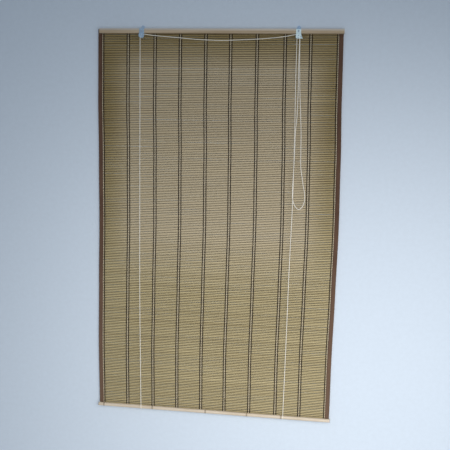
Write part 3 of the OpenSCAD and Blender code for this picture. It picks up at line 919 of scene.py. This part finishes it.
@dataclass
class LiftCord:
    """The one long cord that rolls the blind up, in the runs that its bodies divide it into."""

    diameter: float = 2.4 * MM
    step: float = 2.0 * MM
    sides: int = 10
    wrap_radius: float = 5.4 * MM
    groove_spacing: float = 3.2 * MM
    sling_radius: float = 9.1 * MM
    sling_back_radius: float = 5.8 * MM
    wrap_step_deg: int = 30
    knot_size: float = 0.5 * MM
    knot_strand: float = 0.85 * MM
    knot_steps: int = 72
    tail_length: float = 6.0 * MM
    tail_steps: int = 4
    lean: dict[str, float] = field(
        default_factory=lambda: {"left_sling": 0.0, "right_sling": -4.0 * MM}
    )

    def sling_x(self, node: str) -> float:
        """Where a sling goes round the rod: at its node, or drawn a little aside."""
        return middle(node).x + self.lean[node]

    def wrap(self, centre: Vector, depth: float, start: int, end: int) -> list[Vector]:
        """Points where the cord goes round a pulley.

        Args:
            centre: The pulley's middle.
            depth: The groove's place along Y.
            start: First angle, in degrees from +X towards +Z.
            end: Last angle.

        Returns:
            Points on the arc.
        """
        step = self.wrap_step_deg if end > start else -self.wrap_step_deg
        angles = [math.radians(angle) for angle in range(start, end + step, step)]
        radius = self.wrap_radius
        return [
            Vector((centre.x + radius * math.cos(a), depth, centre.z + radius * math.sin(a)))
            for a in angles
        ]

    def sling_route(self, node: str) -> list[Vector]:
        """Points down the rod's front, under it and up behind the mat.

        Args:
            node: The sling's CAD node.

        Returns:
            The route.
        """
        rod, back = middle("bottom_rod"), middle("left_back_run").y
        x, top = self.sling_x(node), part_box(node)[1][2]
        quarter = [math.radians(angle) for angle in range(0, 91, self.wrap_step_deg)]
        front_r, back_r = self.sling_radius, self.sling_back_radius
        under = [(x, rod.y - front_r * math.cos(a), rod.z - front_r * math.sin(a)) for a in quarter]
        low = rod.z - front_r + back_r
        behind = [(x, back - back_r * (1 - math.sin(a)), low - back_r * math.cos(a)) for a in quarter]
        return [Vector(p) for p in [(x, rod.y - front_r, top), *under, *behind, (x, back, top)]]

    def back_route(self, sling: str) -> list[Vector]:
        """The two ends of a straight run behind the mat, from a sling up to a knot.

        Args:
            sling: The sling's CAD node.

        Returns:
            The route.
        """
        back = middle("left_back_run").y
        foot = Vector((self.sling_x(sling), back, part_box(sling)[1][2]))
        return [foot, Vector((middle(sling).x, back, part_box("cord_end_knots")[0][2]))]

    def runs(self) -> list[CordRun]:
        """The cord's runs, with routes given between the pulleys and the rod.

        Returns:
            The runs, from the cord's left end to its right one.
        """
        left, lock, rod = middle("left_pulley"), middle("lock_pulley"), middle("bottom_rod")
        front, back = lock.y - self.groove_spacing / 2, lock.y + self.groove_spacing / 2
        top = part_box("left_sling")[1][2]
        sling_front = rod.y - self.sling_radius
        left_low = Vector((self.sling_x("left_sling"), sling_front, top))
        right_low = Vector((self.sling_x("right_sling"), sling_front, top))

        def points(*route: Triple) -> list[Vector]:
            """Route points in millimetres as vectors in metres."""
            return [Vector(point) * MM for point in route]

        left_front = [
            left_low,
            *points((-319, -27, -1140), (-322, -27.5, -710)),
            *self.wrap(left, left.y, 180, 180),
        ]
        crossing = [
            *self.wrap(left, left.y, 180, 90),
            *points(
                (-300, -28, -32.5), (-257, -28, -37.5), (-181, -28, -43.5), (-120, -28.5, -49),
                (-60, -28.5, -53), (20, -29, -55), (110, -29, -51.5), (170, -29, -48.5),
                (225, -29, -44), (270, -29.5, -38.5), (300, -29.5, -33),
            ),
            *self.wrap(lock, front, 90, 0),
        ]
        loop = [
            *self.wrap(lock, front, 0, 0),
            *points(
                (325, -29.5, -130), (326, -29.5, -250), (325, -29.5, -350), (321, -29.5, -410),
                (320, -29, -490), (318.5, -29, -570), (316.5, -29, -650), (317.5, -29, -683),
                (323, -28.5, -704), (333, -28, -721), (345, -28, -728), (356, -28, -719),
                (364.5, -28, -700), (367, -27.5, -680), (365, -27.5, -660), (359, -27.5, -630),
                (351.5, -27.5, -588), (346.5, -27.5, -555), (345, -27, -500), (343, -27, -415),
                (338, -27, -330), (333, -27, -250), (328, -27, -130),
            ),
            *self.wrap(lock, back, 0, 180),
        ]
        right_front = [
            *self.wrap(lock, back, 180, 180),
            *points(
                (314.6, -26.5, -130), (314.8, -26.5, -220), (317, -26.5, -380), (318, -26.5, -700),
                (313, -26.5, -980), (310, -26.5, -1280),
            ),
            right_low,
        ]
        wide, deep = Vector((1, 0, 0)), Vector((0, 1, 0))
        still, gathers, lifted = CordMotion.STILL, CordMotion.GATHERS, CordMotion.LIFTED
        taut, hanging, knot = CordLay.TAUT, CordLay.HANGING, CordEnd.KNOT
        return [
            CordRun("left_back_run", self.back_route("left_sling"), wide, taut, gathers, knot),
            CordRun("left_sling", self.sling_route("left_sling"), wide, taut, lifted),
            CordRun("left_front_run", left_front, deep, taut, gathers),
            CordRun("crossing_cord", crossing, deep, hanging, still),
            CordRun("pull_loop", loop, deep, hanging, still),
            CordRun("right_front_run", right_front, deep, taut, gathers),
            CordRun("right_sling", self.sling_route("right_sling"), wide, taut, lifted),
            CordRun("right_back_run", self.back_route("right_sling"), wide, taut, gathers, knot),
        ]

    def smooth(self, route: Sequence[Vector]) -> list[Vector]:
        """Points a step apart on a smooth curve through a route.

        Args:
            route: The chosen points.

        Returns:
            Points of a centripetal Catmull-Rom curve.
        """
        ends = [2 * route[0] - route[1], *route, 2 * route[-1] - route[-2]]
        path = [route[0].copy()]
        for a, b, c, d in zip(ends, ends[1:], ends[2:], ends[3:]):
            t1 = math.sqrt((b - a).length)
            t2 = t1 + math.sqrt((c - b).length)
            t3 = t2 + math.sqrt((d - c).length)
            count = max(2, round((c - b).length / self.step))
            for index in range(1, count + 1):
                t = t1 + (t2 - t1) * index / count
                ab = a.lerp(b, t / t1)
                bc = b.lerp(c, (t - t1) / (t2 - t1))
                cd = c.lerp(d, (t - t2) / (t3 - t2))
                abc, bcd = ab.lerp(bc, t / t2), bc.lerp(cd, (t - t1) / (t3 - t1))
                path.append(abc.lerp(bcd, (t - t1) / (t2 - t1)))
        return path

    def knot(self, name: str, run: CordRun) -> Piece:
        """Tie the knot at the end of a back run.

        Args:
            name: The piece's name.
            run: The run that ends in it.

        Returns:
            The knot, with a short tail above it.
        """
        low, high = (corner[2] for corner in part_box("cord_end_knots"))
        centre = Vector((run.route[-1].x, run.route[-1].y, (low + high) / 2))
        sketch = Sketch(name)
        path = []
        for step in range(self.knot_steps + 1):
            t = math.tau * step / self.knot_steps
            turn = Vector((
                math.sin(t) + 2 * math.sin(2 * t), -math.sin(3 * t), math.cos(t) - 2 * math.cos(2 * t),
            ))
            path.append(centre + self.knot_size * turn)
        half = (self.knot_strand, self.knot_strand)
        sketch.tube(path, half, self.sides, Vector((0, 1, 0)))
        rise = Vector((0, 0, self.tail_length / self.tail_steps))
        tail = [centre + step * rise for step in range(self.tail_steps + 1)]
        sketch.tube(tail, half, self.sides, Vector((1, 0, 0)))
        piece = sketch.build(PALETTE.cord)
        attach(piece, Body.BLIND.value)
        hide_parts("cord_end_knots")
        return piece

    def build(self) -> None:
        """Make every run of the cord and its knots."""
        for run in self.runs():
            path = self.smooth(run.route)
            sketch = Sketch(f"{run.node}_braid")
            sketch.tube(path, (self.diameter / 2, self.diameter / 2), self.sides, run.across)
            piece = sketch.build(PALETTE.cord)
            if run.motion is CordMotion.GATHERS:
                ends = sorted(point.z for point in (path[0], path[-1]))
                gather(piece, ends[1], ends[0])
            else:
                lifted = run.motion is CordMotion.LIFTED
                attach(piece, (Body.SLINGS if lifted else Body.BLIND).value)
            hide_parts(run.node)
            tied = [self.knot(f"{run.node}_knot", run)] if run.far_end is CordEnd.KNOT else []


@dataclass(frozen=True)
class MatDrape:
    """How the loose mat hangs out of true: drawn aside, fuller at half height, unevenly spaced.

    The bow holds shifts along X at even steps from the mat's top to its bottom. The spacing holds
    the sizes of waves in the slats' heights and their rates, in radians for each metre.
    """

    bow: tuple[float, ...] = (
        -5.5 * MM, -4.5 * MM, 0.0, 2.3 * MM, -0.3 * MM, -3.0 * MM, -1.0 * MM,
    )
    fullness: float = 0.008
    tuck: float = 0.004
    spacing: tuple[Pair, ...] = ((0.6 * MM, 23.0), (0.5 * MM, 34.0), (0.4 * MM, 51.0))
    spacing_ends: float = 10.0

    def across(self, x: float, z: float) -> float:
        """Place along X that a point of the flat mat hangs at.

        Args:
            x: The point's place on the flat mat.
            z: Its height.

        Returns:
            Its place on the draped mat.
        """
        top, low = mat_heights()
        share = min(1.0, max(0.0, (top - z) / (top - low)))
        place = share * (len(self.bow) - 1)
        before = min(int(place), len(self.bow) - 2)
        ease = (1 - math.cos(math.pi * (place - before))) / 2
        shift = self.bow[before] + ease * (self.bow[before + 1] - self.bow[before])
        stretch = 1 + self.fullness * math.sin(math.pi * share) - self.tuck * share ** 2
        return x * stretch + shift

    def down(self, z: float) -> float:
        """Height that a line of the evenly spaced mat has where the spacing slowly changes.

        Args:
            z: The line's height in the even mat.

        Returns:
            Its height, unchanged at the mat's two ends.
        """
        top, low = mat_heights()
        share = self.spacing_ends * min(top - z, z - low) / (top - low)
        waves = sum(size * math.sin(rate * z) for size, rate in self.spacing)
        return z + waves * min(1.0, max(0.0, share))


DRAPE = MatDrape()


@dataclass
class SlatMat:
    """The split-reed slats, each a little different in height, line and tone."""

    gap: float = 0.37 * MM
    height_spread: float = 0.15 * MM
    place_spread: float = 0.12 * MM
    tone: float = 0.56
    tone_spread: float = 0.09
    wander: float = 0.45 * MM
    swell: float = 0.12
    swell_rates: Triple = (5.0, 9.0, 23.0)
    thickness_share: float = 0.92
    segments: int = 28
    sides: int = 14
    squareness: float = 2.6
    seed: int = 7

    def section(self) -> list[Pair]:
        """A rounded slat's section.

        Returns:
            Points round it, as shares of its half thickness and half height.
        """
        power = 2 / self.squareness
        shares = []
        for side in range(self.sides):
            angle = math.tau * (side + 0.5) / self.sides
            c, s = math.cos(angle), math.sin(angle)
            shares.append((math.copysign(abs(c) ** power, c), math.copysign(abs(s) ** power, s)))
        return shares

    def build(self) -> Piece:
        """Make the slats as one piece.

        Returns:
            The mat.
        """
        chance = random.Random(self.seed)
        low, high = box_corners("slat_mat")
        pitch = (high.z - low.z) / SLAT_COUNT
        depth, thick = (low.y + high.y) / 2, (high.y - low.y) / 2 * self.thickness_share
        section = self.section()
        sketch = Sketch("reed_slats")
        for index in range(SLAT_COUNT):
            upper, lower = (DRAPE.down(high.z - edge * pitch) for edge in (index, index + 1))
            line = (upper + lower) / 2 + chance.gauss(0, self.place_spread)
            tall = (upper - lower - self.gap + chance.gauss(0, self.height_spread)) / 2
            tone = min(1.0, max(0.0, chance.gauss(self.tone, self.tone_spread)))
            rise = Wander(chance, self.wander)
            swell = Wander(chance, self.swell, self.swell_rates)
            rings, lays = [], []
            for step in range(self.segments + 1):
                flat_x = low.x + (high.x - low.x) * step / self.segments
                x = DRAPE.across(flat_x, line)
                z, half = line + rise.at(x), tall * (1 + swell.at(x))
                rings.append([
                    Vector((x, depth + thick * y_share, z + half * z_share))
                    for y_share, z_share in section
                ])
                lays.append([(tone, abs(z_share), 0.0) for _, z_share in section])
            sketch.loft(rings, lays)
        mat = sketch.build(PALETTE.reed)
        gather(mat, *mat_heights())
        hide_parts("slat_mat")
        return mat


@dataclass
class WarpThreads:
    """The twined threads: in every stripe a cream pair of yarns between two brown ones."""

    stripe_drift: tuple[float, ...] = (
        0.0, 1.5 * MM, 7.5 * MM, 6.0 * MM, 4.0 * MM, -1.5 * MM, -1.5 * MM, 3.5 * MM, -2.0 * MM, 0.0,
    )
    brown_offset: float = 5.0 * MM
    brown_half: Pair = (2.1 * MM, 0.36 * MM)
    cream_half: Pair = (1.5 * MM, 0.34 * MM)
    sway: float = 0.45 * MM
    steps: int = 4
    sides: int = 5
    dwell: float = 0.55
    beads: tuple[float, ...] = (0.42, 1.0, 1.08, 1.0)
    halves: tuple[str, str] = ("left", "right")

    def stripes(self) -> list[float]:
        """Where the stripes lie.

        Returns:
            Places of their middles along X, on the flat mat.
        """
        low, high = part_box("cream_warp_threads")
        first, last = low[0] + self.cream_half[0], high[0] - self.cream_half[0]
        pitch = (last - first) / (len(self.stripe_drift) - 1)
        return [first + index * pitch + drift for index, drift in enumerate(self.stripe_drift)]

    def yarn(self, sketch: Sketch, x: float, node: str, half: Pair, lead: int) -> None:
        """Add one yarn that goes over a slat, between two and under the next.

        Args:
            sketch: What the yarn is added to.
            x: The yarn's place along X.
            node: The CAD node whose box it keeps to.
            half: Half of its width and of its thickness.
            lead: 1 where it starts at the front, and -1 where it starts at the back.
        """
        low, high = box_corners(node)
        pitch = (high.z - low.z) / SLAT_COUNT
        centre, reach = (low.y + high.y) / 2, (high.y - low.y) / 2 - half[1]
        path = []
        for step in range(SLAT_COUNT * self.steps + 1):
            phase = math.pi * (step / self.steps - 0.5)
            swing = math.cos(phase)
            y = centre - lead * reach * math.copysign(abs(swing) ** self.dwell, swing)
            sway = lead * self.sway * math.sin(phase)
            z = DRAPE.down(high.z - pitch * step / self.steps)
            path.append(Vector((DRAPE.across(x + sway, z), y, z)))
        sketch.tube(path, half, self.sides, Vector((1, 0, 0)), self.beads)

    def twine(self, name: str, places: Sequence[float], node: str, half: Pair, finish: Finish) -> None:
        """Make one piece of paired yarns that rides on the blind's body.

        Args:
            name: The piece's name.
            places: Where the pairs lie along X.
            node: The CAD node that it replaces.
            half: Half of a yarn's width and of its thickness.
            finish: What it is dressed in.
        """
        sketch = Sketch(name)
        for x in places:
            for lead in (-1, 1):
                self.yarn(sketch, x, node, half, lead)
        piece = sketch.build(finish)
        gather(piece, *mat_heights())
        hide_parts(node)

    def build(self) -> None:
        """Make the brown yarns in two halves, without the two under the tapes, and the cream ones."""
        stripes = self.stripes()
        sides = [x + offset for x in stripes for offset in (-self.brown_offset, self.brown_offset)]
        seen, share = sides[1:-1], len(stripes) - 1
        for number, name in enumerate(self.halves):
            places = seen[number * share:(number + 1) * share]
            self.twine(f"brown_yarns_{name}", places, "brown_warp_threads", self.brown_half, PALETTE.brown)
        self.twine("cream_yarns", stripes, "cream_warp_threads", self.cream_half, PALETTE.cream)


@dataclass
class EdgeBinding:
    """Cloth tape folded over one edge of the mat and sewn down along its inner edge."""

    node: str
    tape_thickness: float = 0.5 * MM
    ripple: float = 0.16 * MM
    ripple_chance: float = 0.6
    edge_wander: float = 0.5 * MM
    edge_rates: Triple = (9.0, 31.0, 77.0)
    lap: float = 1.4 * MM
    steps: int = 2
    face_points: int = 5
    fold_points: int = 5
    stitch_pitch: float = 6.0 * MM
    stitch_length: float = 3.6 * MM
    stitch_half: float = 0.28 * MM
    stitch_inset: float = 2.2 * MM
    stitch_start: float = 0.6
    stitch_wander: float = 0.2 * MM
    stitch_shares: tuple[float, ...] = (0.0, 0.2, 0.5, 0.8, 1.0)
    stitch_sides: int = 6
    seed: int = 19
    low: Vector = field(init=False)
    high: Vector = field(init=False)
    side: float = field(init=False)
    outer: float = field(init=False)
    inner: float = field(init=False)
    chance: random.Random = field(init=False)

    def __post_init__(self) -> None:
        """Take the tape's place from the frame."""
        self.low, self.high = box_corners(self.node)
        self.side = math.copysign(1, self.low.x)
        self.outer = max(abs(self.low.x), abs(self.high.x))
        self.inner = min(abs(self.low.x), abs(self.high.x))
        self.chance = random.Random(self.seed + int(self.side))

    def fold(self, inset: float, shift: float) -> list[Pair]:
        """The tape's line in section, from the front inner edge round the fold to the back one.

        Args:
            inset: Depth under the tape's outer skin.
            shift: How far the inner edges have wandered outwards.

        Returns:
            Pairs of distance from the blind's middle and place along Y.
        """
        centre, half = (self.low.y + self.high.y) / 2, (self.high.y - self.low.y) / 2
        turn_x, reach = self.outer - half, half - inset
        edge = self.inner - self.lap + shift
        xs = [edge + (turn_x - edge) * i / self.face_points for i in range(self.face_points)]
        angles = [math.pi * i / self.fold_points for i in range(self.fold_points + 1)]
        bend = [(turn_x + reach * math.sin(a), centre - reach * math.cos(a)) for a in angles]
        front = [(x, centre - reach) for x in xs]
        back = [(x, centre + reach) for x in reversed(xs)]
        return front + bend + back

    def tape(self) -> Piece:
        """Make the folded tape, drawn in a little between the slats.

        Returns:
            The tape.
        """
        sketch = Sketch(f"{self.node}_tape")
        wander = Wander(self.chance, self.edge_wander, self.edge_rates)
        count = SLAT_COUNT * self.steps
        rings, lays = [], []
        for step in range(count + 1):
            z = self.low.z + (self.high.z - self.low.z) * step / count
            dip = self.ripple * (0.5 + 0.5 * math.cos(math.tau * step / self.steps))
            dip += self.ripple * self.chance.uniform(0, self.ripple_chance)
            skin = self.fold(dip, wander.at(z))
            lining = self.fold(dip + self.tape_thickness, wander.at(z))
            loop = skin + lining[::-1]
            if self.side > 0:
                loop = loop[::-1]
            rings.append([Vector((DRAPE.across(self.side * x, z), y, z)) for x, y in loop])
            lays.append([(x + y, z - self.low.z, 0.0) for x, y in loop])
        sketch.loft(rings, lays)
        return sketch.build(PALETTE.tape)

    def stitches(self) -> Piece:
        """Make the running stitch along the inner edge on both faces.

        Returns:
            The stitching.
        """
        sketch = Sketch(f"{self.node}_stitching")
        count = int((self.high.z - self.low.z) / self.stitch_pitch)
        faces = {Face.FRONT: self.low.y, Face.BACK: self.high.y}
        half, inset = self.stitch_half, self.inner + self.stitch_inset
        for index in range(count):
            top = self.high.z - (index + self.stitch_start) * self.stitch_pitch
            for face, skin in faces.items():
                x = self.side * (inset + self.chance.uniform(-self.stitch_wander, self.stitch_wander))
                path = []
                for share in self.stitch_shares:
                    sunk = 2 * half * (2 * abs(share - 0.5)) ** 2
                    y = skin - face.value * sunk
                    z = top - self.stitch_length * share
                    path.append(Vector((DRAPE.across(x, z), y, z)))
                sketch.tube(path, (half, half), self.stitch_sides, Vector((1, 0, 0)))
        return sketch.build(PALETTE.stitch)

    def build(self) -> None:
        """Make the tape and its stitching, and put both on the blind's body."""
        tape, stitches = self.tape(), self.stitches()
        for piece in (tape, stitches):
            gather(piece, *mat_heights())
        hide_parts(self.node)


@dataclass
class BottomRod:
    """The bamboo cane under the mat, with its growth rings and cut, hollow ends."""

    rings: tuple[float, ...] = (25 * MM, 242 * MM, 476 * MM, 655 * MM, 801 * MM)
    ring_rise: float = 0.6 * MM
    ring_width: float = 3.2 * MM
    groove_depth: float = 0.45 * MM
    groove_width: float = 0.8 * MM
    bore_radius: float = 3.0 * MM
    bore_depth: float = 14 * MM
    bore_core: float = 0.9 * MM
    rim_radius: float = 3.3 * MM
    rim_depth: float = 0.3 * MM
    end_rounding: float = 0.5 * MM
    bulge: float = 0.12 * MM
    bulge_rates: Triple = (6.0, 17.0, 29.0)
    close_step: float = 0.4 * MM
    close_count: int = 9
    segments: int = 400
    sides: int = 40
    seed: int = 31

    def swell(self, place: float) -> float:
        """How far the cane stands out: a rise with a groove on it at every growth ring.

        Args:
            place: Distance from the cane's left end.

        Returns:
            The rise over its plain radius.
        """
        rise = 0.0
        for ring in self.rings:
            off = place - ring
            rise += self.ring_rise * math.exp(-((off / self.ring_width) ** 2))
            rise -= self.groove_depth * math.exp(-((off / self.groove_width) ** 2))
        return rise

    def places(self, length: float) -> list[float]:
        """Places of the cane's rings of points, closer at the growth rings.

        Args:
            length: The cane's length.

        Returns:
            Distances from its left end, in order.
        """
        even = [length * step / self.segments for step in range(self.segments + 1)]
        shifts = [self.close_step * step for step in range(-self.close_count, self.close_count + 1)]
        close = [ring + shift for ring in self.rings for shift in shifts]
        return sorted({round(place, 6) for place in even + close})

    def build(self) -> Piece:
        """Make the cane.

        Returns:
            The cane, riding on the rod's body.
        """
        chance = random.Random(self.seed)
        low, high = box_corners("bottom_rod")
        radius = (high.z - low.z) / 2 - self.ring_rise
        axis = middle("bottom_rod")
        length = high.x - low.x
        flat, lobed = (Wander(chance, self.bulge, self.bulge_rates) for _ in range(2))
        angles = [math.tau * side / self.sides for side in range(self.sides)]

        def ring_at(place: float, size: float) -> list[Vector]:
            """A ring of points that is not quite round.

            Args:
                place: Distance from the cane's left end.
                size: About the ring's radius.

            Returns:
                The ring's points.
            """
            x = low.x + place
            return [
                Vector((
                    x,
                    axis.y + (size + flat.at(place) * math.cos(2 * a)) * math.cos(a),
                    axis.z + (size + lobed.at(place) * math.cos(3 * a)) * math.sin(a),
                ))
                for a in angles
            ]

        # Each ring of a cut end has its depth in the cane, its radius and its share of pith.
        ends = [
            (self.bore_depth, self.bore_core, 1.0),
            (self.bore_depth, self.bore_radius, 1.0),
            (self.rim_depth, self.bore_radius, 1.0),
            (0.0, self.rim_radius, 0.8),
            (0.0, radius - self.end_rounding, 0.6),
        ]
        rings = [ring_at(place, size) for place, size, _ in ends]
        lays = [[(0.0, pith, 0.0)] * self.sides for _, _, pith in ends]
        for place in self.places(length)[1:-1]:
            rise = self.swell(place)
            rings.append(ring_at(place, radius + rise))
            lays.append([(min(1.0, abs(rise) / self.ring_rise), 0.0, 0.0)] * self.sides)
        rings += [ring_at(length - place, size) for place, size, _ in reversed(ends)]
        lays += [[(0.0, pith, 0.0)] * self.sides for _, _, pith in reversed(ends)]
        sketch = Sketch("bamboo_cane")
        sketch.loft(rings, lays)
        cane = sketch.build(PALETTE.cane)
        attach(cane, Body.ROD.value)
        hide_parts("bottom_rod")
        return cane


@dataclass
class CadDress:
    """The rigid CAD nodes, which keep their shape and get a finish and soft edges."""

    edge: float = 0.18 * MM
    weld: float = 0.002 * MM
    edge_steps: int = 2
    sharp_deg: float = 35.0
    finishes: tuple[tuple[Finish, tuple[str, ...]], ...] = (
        (PALETTE.batten, ("headrail",)),
        (PALETTE.staple, ("headrail_staples", "cord_anchor_staples", "rod_staples")),
        (PALETTE.screw, ("hanger_screws",)),
        (PALETTE.zinc, ("left_hanger", "left_front_cheek")),
        (PALETTE.bright, ("lock_hanger", "lock_front_cheek")),
        (PALETTE.rivet, ("left_axle", "left_spacer", "lock_axle", "lock_spacer", "lock_pin")),
        (PALETTE.nylon, ("left_pulley", "lock_pulley")),
        (PALETTE.roller, ("lock_roller",)),
    )

    def dress(self, node: str, finish: Finish) -> None:
        """Give one node its finish, and round its edges slightly.

        Args:
            node: The CAD node's name.
            finish: What it is dressed in.
        """
        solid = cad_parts[node]
        material = material_for(finish)
        if not solid.material_slots:
            solid.data.materials.append(material)
        for holder in solid.material_slots:
            holder.material = material
        weld = solid.modifiers.new("weld", "WELD")
        weld.merge_threshold = self.weld
        bevel = solid.modifiers.new("soft_edge", "BEVEL")
        bevel.width = self.edge
        bevel.segments = self.edge_steps
        bevel.limit_method = "ANGLE"
        bevel.angle_limit = math.radians(self.sharp_deg)
        LOG.info("%s: %s", node, finish.slot.value)

    def build(self) -> None:
        """Dress every node."""
        for finish, nodes in self.finishes:
            for node in nodes:
                self.dress(node, finish)


def main() -> None:
    """Build the camera and the cord first, then the mat, its trim, the rod and the metal parts."""
    logging.basicConfig(level=logging.INFO, format="%(name)s: %(message)s")
    studio = Studio()
    studio.set_camera()
    LiftCord().build()
    SlatMat().build()
    WarpThreads().build()
    for node in ("left_binding", "right_binding"):
        EdgeBinding(node).build()
    BottomRod().build()
    CadDress().build()
    studio.set_light()
    studio.set_stage()


if __name__ == "__main__":
    main()
